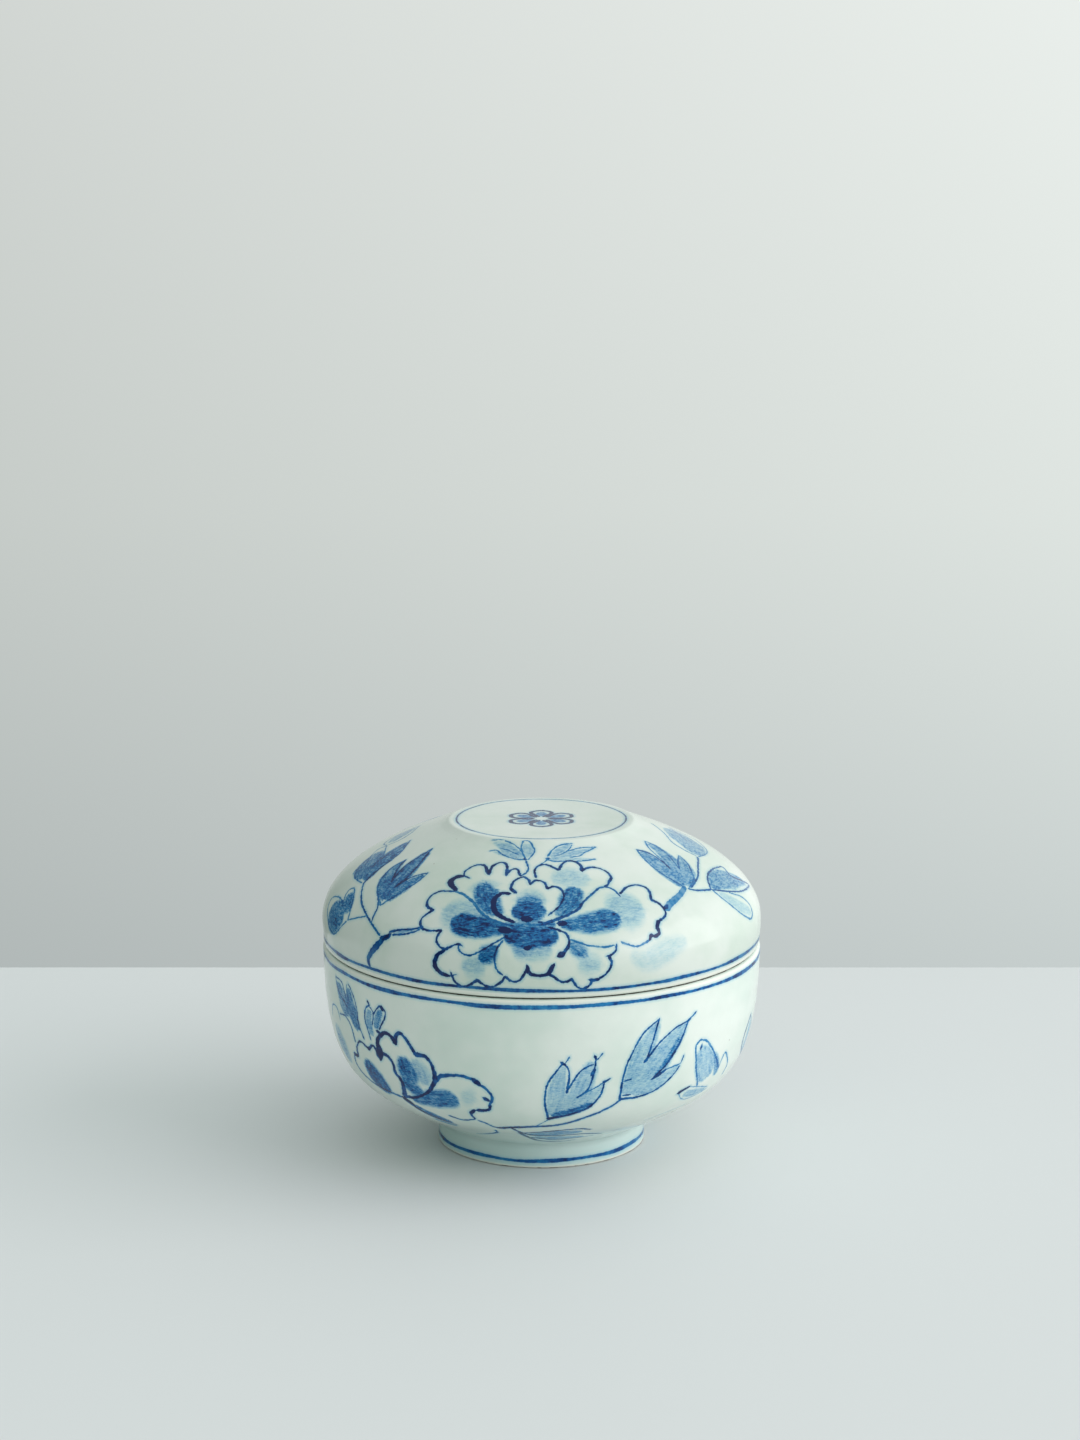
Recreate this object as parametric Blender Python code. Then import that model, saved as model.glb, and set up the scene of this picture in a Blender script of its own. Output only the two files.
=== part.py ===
"""Lidded porcelain rice bowl, turned on the wheel: a bowl with a foot ring, and a domed lid.

Metres, +Z up, origin at the middle of the foot ring's base, +Z along the turning axis.
The lid's flange drops inside the bowl's rim, and its seat rests on the bowl's lip.
"""

import math

import bpy
from mathutils import Vector
from mathutils.geometry import interpolate_bezier

# Bowl, outside
BOWL_HEIGHT = 0.0624  # foot base to the top of the lip
RIM_RADIUS = 0.0662
FOOT_RADIUS = 0.0317  # at the foot ring's base
FOOT_WAIST_RADIUS = 0.0311  # where the belly meets the ring, without its fillet
FOOT_HEIGHT = 0.0070
BELLY_LEAN = 0.0006  # how far the upright part of the wall leans in
BELLY_DROP = 0.73  # fullness: the share of the wall's height that stays near upright
BELLY_SLOPE = math.radians(29)  # how steeply the belly leaves the foot
BELLY_SPREAD = 0.86  # fullness: the share of the overhang past the foot near this slope

# Bowl, inside and underneath
BOWL_WALL = 0.0042  # at the rim
BOWL_WALL_LOW = 0.0056  # where the wall meets the foot
BOWL_FLOOR = 0.0050  # at the middle, above the recess
FOOT_RING_WIDTH = 0.0042
FOOT_RECESS = 0.0045

# Lid, outside
LID_HEIGHT = 0.0370  # seat to the flat top
LID_BULGE = 0.0004  # how far the widest part stands out past the lid's rim
LID_WIDEST_HEIGHT = 0.0072  # above the seat
LID_TOP_RADIUS = 0.0278  # of the flat disc on top
DOME_SLOPE = math.radians(42)  # how steeply the dome leaves the disc
DOME_TOP_PULL = 0.0042
DOME_SHOULDER = 0.62  # fullness: the share of the dome's height that stays near upright

# Lid, inside
LID_WALL = 0.0040
LID_TOP_WALL = 0.0045
FLANGE_WALL = 0.0028
FLANGE_DEPTH = 0.0050  # below the seat

# Fits
SEAT_GAP = 0.0003  # between the bowl's lip and the lid's seat
LIP_STEP = 0.0003  # how far the bowl's rim stands out past the lid's
FLANGE_CLEARANCE = 0.0008  # all round, between the flange and the bowl's wall

# Rounded edges
LIP_ROUND = 0.0012
INNER_LIP_ROUND = 0.0006
FLANGE_ROOT_FILLET = 0.0005
FLANGE_TIP_ROUND = 0.0012
TOP_EDGE_ROUND = 0.0020
FOOT_FILLET = 0.0025
FOOT_EDGE_ROUND = 0.0005
RECESS_FILLET = 0.0015

TURN_STEPS = 60  # facets round the axis
WALL_STEPS = 11
SHORT_STEPS = 4
ARC_STEPS = 2


def curve(start, start_handle, end_handle, end, steps):
    """Points of (radius, height) along a Bezier curve."""
    points = interpolate_bezier(start, start_handle, end_handle, end, steps + 1)
    return [Vector((point[0], point[1])) for point in points]


def inner_side(line, first, last):
    """The line inside one that runs down an outer wall, for a wall from first to last thick."""
    moved = []
    for i, point in enumerate(line):
        along = line[min(i + 1, len(line) - 1)] - line[max(i - 1, 0)]
        inward = Vector((along.y, -along.x)).normalized()
        share = i / (len(line) - 1)
        moved.append(point + inward * (first + (last - first) * share))
    return moved


def rounded(*corners):
    """A line through corners of (point, rounding), with an arc at each rounded corner."""
    line = []
    for i, (corner, radius) in enumerate(corners):
        if radius == 0:
            line.append(corner)
            continue
        before = (corners[i - 1][0] - corner).normalized()
        after = (corners[i + 1][0] - corner).normalized()
        half = before.angle(after) / 2
        centre = corner + (before + after).normalized() * radius / math.sin(half)
        first = corner + before * radius / math.tan(half) - centre
        last = corner + after * radius / math.tan(half) - centre
        for step in range(ARC_STEPS + 1):
            share = step / ARC_STEPS
            line.append(centre + first.slerp(last, share) * radius)
    return line


def onto_flat(wall_end, wall_before, height):
    """A line that leaves a wall's end in the wall's own direction and runs flat to the axis."""
    slope = wall_end - wall_before
    knee = wall_end + slope * (height - wall_end.y) / slope.y
    middle = Vector((0, height))
    return curve(wall_end, wall_end.lerp(knee, 0.7), knee.lerp(middle, 0.3), middle, SHORT_STEPS)


def glaze(name, colour):
    material = bpy.data.materials.new(name)
    material.use_nodes = True
    shader = material.node_tree.nodes["Principled BSDF"]
    shader.inputs["Base Color"].default_value = (*colour, 1)
    shader.inputs["Roughness"].default_value = 0.12
    shader.inputs["Metallic"].default_value = 0
    return material


def turned(name, section, material):
    """A solid of revolution. Its section runs down the outside, from the axis round to the axis."""
    mesh = bpy.data.meshes.new(name)
    edges = [(i, i + 1) for i in range(len(section) - 1)]
    mesh.from_pydata([(point.x, 0, point.y) for point in section], edges, [])
    mesh.materials.append(material)
    piece = bpy.data.objects.new(name, mesh)
    bpy.context.collection.objects.link(piece)
    screw = piece.modifiers.new("Turned", "SCREW")
    screw.axis = "Z"
    screw.steps = TURN_STEPS
    screw.render_steps = TURN_STEPS
    screw.use_merge_vertices = True
    screw.merge_threshold = 0.00001
    screw.use_smooth_shade = True
    return piece


def bowl_section():
    rim = Vector((RIM_RADIUS, BOWL_HEIGHT))
    inner_rim = Vector((RIM_RADIUS - BOWL_WALL, BOWL_HEIGHT))
    waist = Vector((FOOT_WAIST_RADIUS, FOOT_HEIGHT))
    rise = Vector((math.cos(BELLY_SLOPE), math.sin(BELLY_SLOPE)))
    upright = rim - Vector((BELLY_LEAN, (rim.y - waist.y) * BELLY_DROP))
    spread = waist + rise * (rim.x - waist.x) * BELLY_SPREAD
    outside = curve(rim, upright, spread, waist + rise * FOOT_FILLET, WALL_STEPS)
    inside = inner_side(outside, BOWL_WALL, BOWL_WALL_LOW)
    floor = onto_flat(inside[-1], inside[-2], FOOT_RECESS + BOWL_FLOOR)
    lip = rounded(
        (inside[1], 0),
        (inner_rim, INNER_LIP_ROUND),
        (rim, LIP_ROUND),
        (outside[1], 0),
    )
    ring_inside = FOOT_RADIUS - FOOT_RING_WIDTH
    foot = rounded(
        (outside[-1], 0),
        (waist, FOOT_FILLET),
        (Vector((FOOT_RADIUS, 0)), FOOT_EDGE_ROUND),
        (Vector((ring_inside, 0)), FOOT_EDGE_ROUND),
        (Vector((ring_inside, FOOT_RECESS)), RECESS_FILLET),
        (Vector((0, FOOT_RECESS)), 0),
    )
    return floor[::-1] + inside[-2:1:-1] + lip + outside[2:-1] + foot


def lid_section():
    seat = BOWL_HEIGHT + SEAT_GAP
    top = seat + LID_HEIGHT
    edge = Vector((LID_TOP_RADIUS, top))
    rim = Vector((RIM_RADIUS - LIP_STEP, seat))
    widest = rim + Vector((LID_BULGE, LID_WIDEST_HEIGHT))
    leave = edge + Vector((math.cos(DOME_SLOPE), -math.sin(DOME_SLOPE))) * DOME_TOP_PULL
    shoulder = widest + Vector((0, (top - widest.y) * DOME_SHOULDER))
    dome = curve(edge, leave, shoulder, widest, WALL_STEPS)
    rim_pull = Vector((0, LID_WIDEST_HEIGHT / 3))
    skirt = curve(widest, widest - rim_pull, rim + rim_pull, rim, SHORT_STEPS)
    flange_outside = RIM_RADIUS - BOWL_WALL - FLANGE_CLEARANCE
    flange_inside = flange_outside - FLANGE_WALL
    seat_and_flange = rounded(
        (skirt[-2], 0),
        (rim, LIP_ROUND),
        (Vector((flange_outside, seat)), FLANGE_ROOT_FILLET),
        (Vector((flange_outside, seat - FLANGE_DEPTH)), FLANGE_TIP_ROUND),
        (Vector((flange_inside, seat - FLANGE_DEPTH)), FLANGE_TIP_ROUND),
        (Vector((flange_inside, seat)), 0),
    )
    ceiling = top - LID_TOP_WALL
    below = ceiling - TOP_EDGE_ROUND / 2
    inside = [point for point in inner_side(dome, LID_WALL, LID_WALL) if point.y < below]
    flange_root = seat_and_flange[-1]
    spring = inside[-1]
    half_way = Vector((0, (spring.y - seat) / 2))
    blend = curve(flange_root, flange_root + half_way, spring - half_way, spring, SHORT_STEPS)
    crown = onto_flat(inside[0], inside[1], ceiling)
    disc = rounded((Vector((0, top)), 0), (edge, TOP_EDGE_ROUND), (dome[1], 0))
    return disc + dome[2:] + skirt[1:-2] + seat_and_flange + blend[1:] + inside[-2:0:-1] + crown


for old in list(bpy.data.objects):
    bpy.data.objects.remove(old)

turned("bowl", bowl_section(), glaze("bowl_glaze", (0.62, 0.72, 0.66)))
turned("lid", lid_section(), glaze("lid_glaze", (0.66, 0.75, 0.70)))
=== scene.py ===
"""Covered porcelain rice bowl, thrown on the wheel and painted in cobalt blue under a clear glaze.

The bowl and its lid are two pieces of fired clay. Metres, +Z up, origin under the foot ring.
Painted places are degrees round from the front, to the right, and millimetres along the wall.
"""

import math

import bpy
import numpy as np
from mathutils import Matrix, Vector
from mathutils.geometry import interpolate_bezier


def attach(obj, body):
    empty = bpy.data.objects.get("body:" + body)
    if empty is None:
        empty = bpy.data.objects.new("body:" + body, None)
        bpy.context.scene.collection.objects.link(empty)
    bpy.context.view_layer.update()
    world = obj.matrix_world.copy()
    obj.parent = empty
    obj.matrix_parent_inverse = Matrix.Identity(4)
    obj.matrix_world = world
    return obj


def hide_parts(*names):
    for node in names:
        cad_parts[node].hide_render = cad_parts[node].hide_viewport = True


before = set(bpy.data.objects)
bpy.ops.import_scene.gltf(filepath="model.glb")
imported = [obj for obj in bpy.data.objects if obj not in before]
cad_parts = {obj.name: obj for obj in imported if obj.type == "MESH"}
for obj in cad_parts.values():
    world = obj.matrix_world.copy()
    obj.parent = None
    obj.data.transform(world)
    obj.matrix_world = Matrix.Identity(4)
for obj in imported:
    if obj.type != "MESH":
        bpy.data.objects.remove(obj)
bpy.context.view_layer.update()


# The camera: a long lens on a stand, a metre in front of the bowl and a little above it, looking
# slightly down.
CAMERA_PLACE = (-0.0004, -0.968, 0.3328)
CAMERA_DOWN = math.radians(11.83)
LENS = 82.5  # millimetres, on a picture whose long side is 36

bpy.ops.object.camera_add(location=CAMERA_PLACE, rotation=(math.pi / 2 - CAMERA_DOWN, 0, 0))
camera = bpy.context.object
camera.data.lens = LENS
camera.data.sensor_width = 36
bpy.context.scene.camera = camera
bpy.context.scene.view_settings.view_transform = "Standard"


# The table: a pale matt painted board. Past its back edge shows the plain pale wall of the room,
# which is brighter towards the right, and dimmer and greener low down at its far left.
TABLE_BACK = 0.184
TABLE_FRONT = -2.4
TABLE_HALF_WIDTH = 1.6
TABLE_COLOUR = (0.665, 0.695, 0.695)
WALL_LOW = (0.475, 0.52, 0.515)
WALL_MIDDLE = (0.62, 0.66, 0.635)
WALL_HIGH = (0.70, 0.735, 0.71)
ROOM_ABOVE = (0.70, 0.745, 0.735)
ROOM_LEFT = (0.31, 0.39, 0.345)  # how the dim left end of the room tints its light
ROOM_DIMMEST, ROOM_BRIGHTEST = 0.72, 1.53  # the strength of its light, far left and far right
ROOM_FRONT_GAIN = 0.10  # how much stronger its light is from the front than from the side


def add_node(tree, kind, wires=(), **settings):
    """One shader node. Its wires are its inputs: each is a number or another node's output."""
    made = tree.nodes.new("ShaderNode" + kind)
    for name, value in settings.items():
        setattr(made, name, value)
    for name, value in dict(wires).items():
        socket = made.inputs[name]
        if isinstance(value, bpy.types.NodeSocket):
            tree.links.new(value, socket)
        else:
            socket.default_value = (*value, 1) if socket.type == "RGBA" else value
    return made


def worked_out(tree, operation, *values):
    """The answer of one sum in a shader."""
    return add_node(tree, "Math", enumerate(values), operation=operation).outputs[0]


def stretched(tree, value, low, high, first=0.0, last=1.0, shape="SMOOTHSTEP"):
    """A value's way from low to high, turned into first to last, and held there past the ends."""
    wires = {"Value": value, "From Min": low, "From Max": high, "To Min": first, "To Max": last}
    return add_node(tree, "MapRange", wires, interpolation_type=shape).outputs[0]


def mixed(tree, share, first, last, blend="MIX"):
    """A share of one colour laid over another."""
    wires = {0: share, 6: first, 7: last}
    return add_node(tree, "Mix", wires, data_type="RGBA", blend_type=blend).outputs[2]


def ramp(tree, share, stops):
    """A run of colours, given as (place, colour)."""
    made = add_node(tree, "ValToRGB", {0: share})
    made.color_ramp.elements[0].position = stops[0][0]
    made.color_ramp.elements[0].color = (*stops[0][1], 1)
    made.color_ramp.elements[1].position = stops[1][0]
    made.color_ramp.elements[1].color = (*stops[1][1], 1)
    for place, colour in stops[2:]:
        made.color_ramp.elements.new(place).color = (*colour, 1)
    return made.outputs[0]


bpy.ops.object.select_all(action="DESELECT")
bpy.ops.mesh.primitive_plane_add(size=2, location=(0, (TABLE_BACK + TABLE_FRONT) / 2, -0.0001))
table = bpy.context.object
table.name = "table"
table.scale = (TABLE_HALF_WIDTH, (TABLE_BACK - TABLE_FRONT) / 2, 1)
bpy.ops.object.transform_apply(location=True, rotation=True, scale=True)
painted_board = bpy.data.materials.new("painted board")
painted_board.use_nodes = True
board = painted_board.node_tree.nodes["Principled BSDF"]
board.inputs["Base Color"].default_value = (*TABLE_COLOUR, 1)
board.inputs["Roughness"].default_value = 0.62
board.inputs["Specular IOR Level"].default_value = 0.25
table.data.materials.append(painted_board)

room = bpy.data.worlds.new("room")
room.use_nodes = True
bpy.context.scene.world = room
tree = room.node_tree
outwards = add_node(tree, "TexCoord").outputs["Generated"]
outwards = add_node(tree, "SeparateXYZ", {0: outwards}).outputs
room_colour = ramp(
    tree,
    stretched(tree, outwards["Z"], -0.28, 0.30, shape="LINEAR"),
    [(0.0, WALL_LOW), (1.0, ROOM_ABOVE), (0.24, WALL_MIDDLE), (0.50, WALL_HIGH), (0.62, WALL_HIGH)],
)
on_left = stretched(tree, outwards["X"], -0.18, -0.5)
low_down = stretched(tree, outwards["Z"], 0.65, 0.2)
dim = worked_out(tree, "MULTIPLY", on_left, low_down)
room_colour = mixed(tree, dim, room_colour, ROOM_LEFT, "MULTIPLY")
across = stretched(tree, outwards["X"], -0.4, 0.6, ROOM_DIMMEST, ROOM_BRIGHTEST, "LINEAR")
frontwards = worked_out(tree, "MULTIPLY_ADD", outwards["Y"], -ROOM_FRONT_GAIN, ROOM_FRONT_GAIN)
tree.links.new(room_colour, tree.nodes["Background"].inputs["Color"])
strength = worked_out(tree, "ADD", across, frontwards)
tree.links.new(strength, tree.nodes["Background"].inputs["Strength"])


# The light: one broad soft window, high on the right and a little in front of the bowl. Its
# daylight is slightly pink against the green of the glaze.
WINDOW_PLACE = (2.5, -0.6, 1.15)
WINDOW_AIM = (0, 0, 0.05)
WINDOW_WIDTH = 2.8
WINDOW_HEIGHT = 2.0
WINDOW_POWER = 47
WINDOW_COLOUR = (1.0, 0.905, 0.935)

bpy.ops.object.light_add(type="AREA", location=WINDOW_PLACE)
window = bpy.context.object
window.name = "window light"
window.data.shape = "RECTANGLE"
window.data.size = WINDOW_WIDTH
window.data.size_y = WINDOW_HEIGHT
window.data.energy = WINDOW_POWER
window.data.color = WINDOW_COLOUR
towards_bowl = Vector(WINDOW_AIM) - window.location
window.rotation_euler = towards_bowl.to_track_quat("-Z", "Y").to_euler()


# The bowl: a wide rice bowl with a low foot ring, thrown in white porcelain clay and trimmed.
# Cobalt bands run round the rim and the foot, and a peony spray is painted on the wall, front and
# back. Then it is dipped in clear glaze; its lip and its foot's base are wiped bare of it.
BOWL_HEIGHT = 0.0624
RIM_RADIUS = 0.0662
FOOT_RADIUS = 0.0317
FOOT_WAIST_RADIUS = 0.0311
FOOT_HEIGHT = 0.0070
BELLY_LEAN = 0.0006
BELLY_DROP = 0.73
BELLY_SLOPE = math.radians(29)
BELLY_SPREAD = 0.86
BOWL_WALL = 0.0042
BOWL_WALL_LOW = 0.0056
BOWL_FLOOR = 0.0050
FOOT_RING_WIDTH = 0.0042
FOOT_RECESS = 0.0045
LIP_ROUND = 0.0012
INNER_LIP_ROUND = 0.0006
FOOT_FILLET = 0.0025
FOOT_EDGE_ROUND = 0.0005
RECESS_FILLET = 0.0015
COLUMNS = 600  # points round the axis, close enough to carry the finest brush line
PAINTED_STEP = 0.00066  # between points down a painted wall
LINING_STEP = 0.0042  # between points down a plain wall inside
FINE_STEPS = 200  # along a curve that is then cut into even steps


def curve(start, start_handle, end_handle, end, steps):
    """Points of (radius, height) along a Bezier curve."""
    points = interpolate_bezier(start, start_handle, end_handle, end, steps + 1)
    return [Vector((point[0], point[1])) for point in points]


def run_down(points):
    """How far along a line each of its points is."""
    steps = np.linalg.norm(np.diff(points, axis=0), axis=1)
    return np.concatenate([[0], np.cumsum(steps)])


def even_steps(line, step):
    """The same line with its points a step apart."""
    there = np.array(line)
    run = run_down(there)
    places = np.linspace(0, run[-1], max(2, round(run[-1] / step) + 1))
    return [Vector([np.interp(place, run, column) for column in there.T]) for place in places]


def inner_side(line, first, last):
    """The line inside one that runs down an outer wall, for a wall from first to last thick."""
    moved = []
    for i, point in enumerate(line):
        along = line[min(i + 1, len(line) - 1)] - line[max(i - 1, 0)]
        inward = Vector((along.y, -along.x)).normalized()
        share = i / (len(line) - 1)
        moved.append(point + inward * (first + (last - first) * share))
    return moved


def rounded(*corners):
    """A line through corners of (point, rounding), with an arc at each rounded corner."""
    line = []
    for i, (corner, radius) in enumerate(corners):
        if radius == 0:
            line.append(corner)
            continue
        before = (corners[i - 1][0] - corner).normalized()
        after = (corners[i + 1][0] - corner).normalized()
        half = before.angle(after) / 2
        centre = corner + (before + after).normalized() * radius / math.sin(half)
        first = corner + before * radius / math.tan(half) - centre
        last = corner + after * radius / math.tan(half) - centre
        steps = max(3, round(radius / 0.0003))
        for step in range(steps + 1):
            line.append(centre + first.slerp(last, step / steps) * radius)
    return line


def onto_flat(wall_end, wall_before, height, steps):
    """A line that leaves a wall's end in the wall's own direction and runs flat to the axis."""
    slope = wall_end - wall_before
    knee = wall_end + slope * (height - wall_end.y) / slope.y
    middle = Vector((0, height))
    return curve(wall_end, wall_end.lerp(knee, 0.7), knee.lerp(middle, 0.3), middle, steps)


def bowl_section():
    """The bowl's outline, from the middle inside, over the lip, down the wall and under the foot."""
    rim = Vector((RIM_RADIUS, BOWL_HEIGHT))
    inner_rim = Vector((RIM_RADIUS - BOWL_WALL, BOWL_HEIGHT))
    waist = Vector((FOOT_WAIST_RADIUS, FOOT_HEIGHT))
    rise = Vector((math.cos(BELLY_SLOPE), math.sin(BELLY_SLOPE)))
    upright = rim - Vector((BELLY_LEAN, (rim.y - waist.y) * BELLY_DROP))
    spread = waist + rise * (rim.x - waist.x) * BELLY_SPREAD
    outside = curve(rim, upright, spread, waist + rise * FOOT_FILLET, FINE_STEPS)
    inside = inner_side(outside, BOWL_WALL, BOWL_WALL_LOW)
    floor = onto_flat(inside[-1], inside[-2], FOOT_RECESS + BOWL_FLOOR, 7)
    below_lip = next(i for i, point in enumerate(outside) if rim.y - point.y > 2.2 * LIP_ROUND)
    painted = even_steps(outside[below_lip:], PAINTED_STEP)
    lining = even_steps(inside[below_lip:], LINING_STEP)
    lip = rounded(
        (lining[0], 0),
        (inner_rim, INNER_LIP_ROUND),
        (rim, LIP_ROUND),
        (painted[0], 0),
    )
    ring_inside = FOOT_RADIUS - FOOT_RING_WIDTH
    foot = rounded(
        (outside[-1], 0),
        (waist, FOOT_FILLET),
        (Vector((FOOT_RADIUS, 0)), FOOT_EDGE_ROUND),
        (Vector((ring_inside, 0)), FOOT_EDGE_ROUND),
        (Vector((ring_inside, FOOT_RECESS)), RECESS_FILLET),
        (Vector((0, FOOT_RECESS)), 0),
    )
    return floor[::-1] + lining[-2:0:-1] + lip + painted[1:-1] + foot


def thrown(name, section):
    """A solid of revolution: a point is drawn out along the section, then turned round the axis."""
    bpy.ops.object.select_all(action="DESELECT")
    bpy.ops.mesh.primitive_plane_add(size=0.001, location=(0, 0, 0))
    piece = bpy.context.object
    piece.name = name
    bpy.ops.object.mode_set(mode="EDIT")
    bpy.ops.mesh.select_all(action="SELECT")
    bpy.ops.mesh.merge(type="CENTER")
    bpy.ops.transform.translate(value=(section[0].x, 0, section[0].y))
    for before, after in zip(section, section[1:]):
        step = after - before
        bpy.ops.mesh.extrude_vertices_move(TRANSFORM_OT_translate={"value": (step.x, 0, step.y)})
    bpy.ops.object.mode_set(mode="OBJECT")
    bpy.ops.object.modifier_add(type="SCREW")
    turning = piece.modifiers[0]
    turning.axis = "Z"
    turning.steps = COLUMNS
    turning.render_steps = COLUMNS
    turning.use_merge_vertices = True
    turning.merge_threshold = 0.000002
    bpy.ops.object.modifier_apply(modifier=turning.name)
    bpy.ops.object.mode_set(mode="EDIT")
    bpy.ops.mesh.select_all(action="SELECT")
    bpy.ops.mesh.normals_make_consistent(inside=False)
    bpy.ops.object.mode_set(mode="OBJECT")
    bpy.ops.object.shade_smooth()
    return piece


def corners_of(piece):
    """The piece's points, one to a row."""
    flat = np.empty(len(piece.data.vertices) * 3)
    piece.data.vertices.foreach_get("co", flat)
    return flat.reshape(-1, 3)


class Brushwork:
    """Cobalt brushed on a thrown wall. Each layer holds lines that don't meet one another.

    A place's run is its millimetres along the section, counted the given way, with start at the
    point of the section nearest a corner. The painted wall goes from one run to another.
    """

    PRESS = 0.05  # the brush presses out this much wider on each side than its stroke
    BLEED = 1.5  # how far past its edge a line keeps its ink's place, for the bleed
    CLEAR = 2.4  # how far apart two lines of one layer are

    def __init__(self, piece, section, corner, way, start, painted):
        self.mesh = piece.data
        self.points = corners_of(piece) * 1000
        there = np.array(section)
        run = run_down(there)
        nearest = np.argmin(np.linalg.norm(there - np.array(corner), axis=1))
        run = (start + way * (run - run[nearest])) * 1000
        order = np.argsort(run)
        self.run = run[order]
        self.radius, self.height = there[order].T * 1000
        across = np.hypot(self.points[:, 0], self.points[:, 1])
        self.place = np.empty(len(across))
        for first in range(0, len(across), 4096):
            part = slice(first, first + 4096)
            out = across[part, None] - self.radius
            up = self.points[part, 2, None] - self.height
            self.place[part] = self.run[(out**2 + up**2).argmin(axis=1)]
        self.wall = np.flatnonzero((self.place > painted[0]) & (self.place < painted[1]))
        self.wall_points = self.points[self.wall]
        self.layers = []
        self.taken = []
        self.wash = np.zeros((len(across), 3))

    def on_wall(self, turn, run):
        """The points at turns in degrees and runs in millimetres, and the wall's normals there."""

        def at(along):
            return np.interp(along, self.run, self.radius), np.interp(along, self.run, self.height)

        (radius, height), (out_up, rise_up), (out_down, rise_down) = at(run), at(run + 0.3), at(run - 0.3)
        sine, cosine = np.sin(np.radians(turn)), np.cos(np.radians(turn))
        rise, back = rise_up - rise_down, out_up - out_down
        outside = (rise > 0) | ((np.abs(rise) < 1e-9) & (back < 0))
        size = np.hypot(rise, back) * np.where(outside, 1, -1)
        normal = np.stack([rise * sine, -rise * cosine, -back], -1) / size[:, None]
        return np.stack([radius * sine, -radius * cosine, height], -1), normal

    def stroke(self, points, widths, tones, reach):
        """How far each nearby place is from a stroke, and how wide and dark the stroke is there."""
        knots = np.array(points, float)
        knots = np.vstack([2 * knots[0] - knots[1], knots, 2 * knots[-1] - knots[-2]])
        smooth = []
        for a, b, c, d in zip(knots, knots[1:], knots[2:], knots[3:]):
            for t in np.linspace(0, 1, 24, endpoint=False):
                bend = (2 * a - 5 * b + 4 * c - d) * t**2 + (3 * b - a - 3 * c + d) * t**3
                smooth.append(0.5 * (2 * b + (c - a) * t + bend))
        smooth = np.array([*smooth, knots[-2]])
        line, normal = self.on_wall(smooth[:, 0], smooth[:, 1])
        run = run_down(line)
        places = np.linspace(0, run[-1], max(4, int(run[-1] / 0.22)))
        line = np.stack([np.interp(places, run, column) for column in line.T], -1)
        normal = np.stack([np.interp(places, run, column) for column in normal.T], -1)
        share = places / run[-1]
        tones = np.atleast_1d(tones)
        width = np.interp(share, np.linspace(0, 1, len(widths)), widths) / 2 + self.PRESS
        tone = np.interp(share, np.linspace(0, 1, len(tones)), tones)
        along = np.gradient(line, axis=0)
        along /= np.linalg.norm(along, axis=1)[:, None]
        side = np.cross(normal, along)
        margin = width.max() + reach
        low, high = line.min(axis=0) - margin, line.max(axis=0) + margin
        near = np.flatnonzero(((self.wall_points > low) & (self.wall_points < high)).all(axis=1))
        apart = self.wall_points[near, None] - line
        which = (apart**2).sum(-1).argmin(axis=1)
        apart = apart[np.arange(len(near)), which]
        offset = (apart * side[which]).sum(-1)
        ahead = (apart * along[which]).sum(-1)
        past = np.where(which == 0, -ahead, 0)
        past = np.where(which == len(line) - 1, ahead, past).clip(0)
        kept = (np.abs(offset) < width[which] + reach) & (past < reach)
        pick = which[kept]
        return self.wall[near[kept]], offset[kept], past[kept], width[pick], tone[pick], places[pick]

    def line(self, widths, tones, *points):
        """A brush line. Its widths, in millimetres, and tones are spread evenly from end to end."""
        spot, offset, past, width, tone, _ = self.stroke(points, widths, tones, self.CLEAR)
        close = np.abs(offset) < width + self.BLEED
        for layer, taken in zip(self.layers, self.taken):
            if not taken[spot].any():
                break
        else:
            layer = np.tile([0.0, -self.BLEED, 0.0], (len(self.points), 1))
            taken = np.zeros(len(self.points), bool)
            self.layers.append(layer)
            self.taken.append(taken)
        taken[spot] = True
        layer[spot[close]] = np.stack([offset, width - past, tone], -1)[close]

    def wash_over(self, soft, widths, tones, *points):
        """A broad stroke of thinned cobalt, its edge soft millimetres wide, with the brush's way."""
        spot, offset, past, width, tone, along = self.stroke(points, widths, tones, 1.0 + soft)
        end = np.maximum(np.minimum(along, along.max() - along) - past, -soft)
        round_end = np.sqrt((width**2 - (width - end).clip(0) ** 2).clip(0)) - (-end).clip(0)
        width = np.where(end < width, round_end, width)
        depth = ((width + 0.45 * soft - np.abs(offset)) / (0.2 + soft)).clip(0, 1)
        depth = tone * depth * depth * (3 - 2 * depth)
        deeper = depth > self.wash[spot, 0]
        self.wash[spot[deeper]] = np.stack([depth, offset, along], -1)[deeper]

    def paint(self, lines, washes, turned):
        """Lays lines and washes on the wall, turned round it by some degrees."""
        for widths, tones, *points in lines:
            self.line(widths, tones, *[(turn + turned, run) for turn, run in points])
        for soft, widths, tones, *points in washes:
            self.wash_over(soft, widths, tones, *[(turn + turned, run) for turn, run in points])

    def finish(self):
        """Puts the brushwork on the mesh, for the glaze to show, and says how many layers it has."""
        self.keep("brush run", np.stack([self.place, self.place * 0, self.place * 0], -1))
        self.keep("brush wash", self.wash)
        for i, layer in enumerate(self.layers):
            self.keep(f"brush line {i + 1}", layer)
        return len(self.layers)

    def keep(self, name, values):
        made = self.mesh.attributes.new(name, "FLOAT_VECTOR", "POINT")
        made.data.foreach_set("vector", values.astype(np.float32).ravel())


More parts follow.
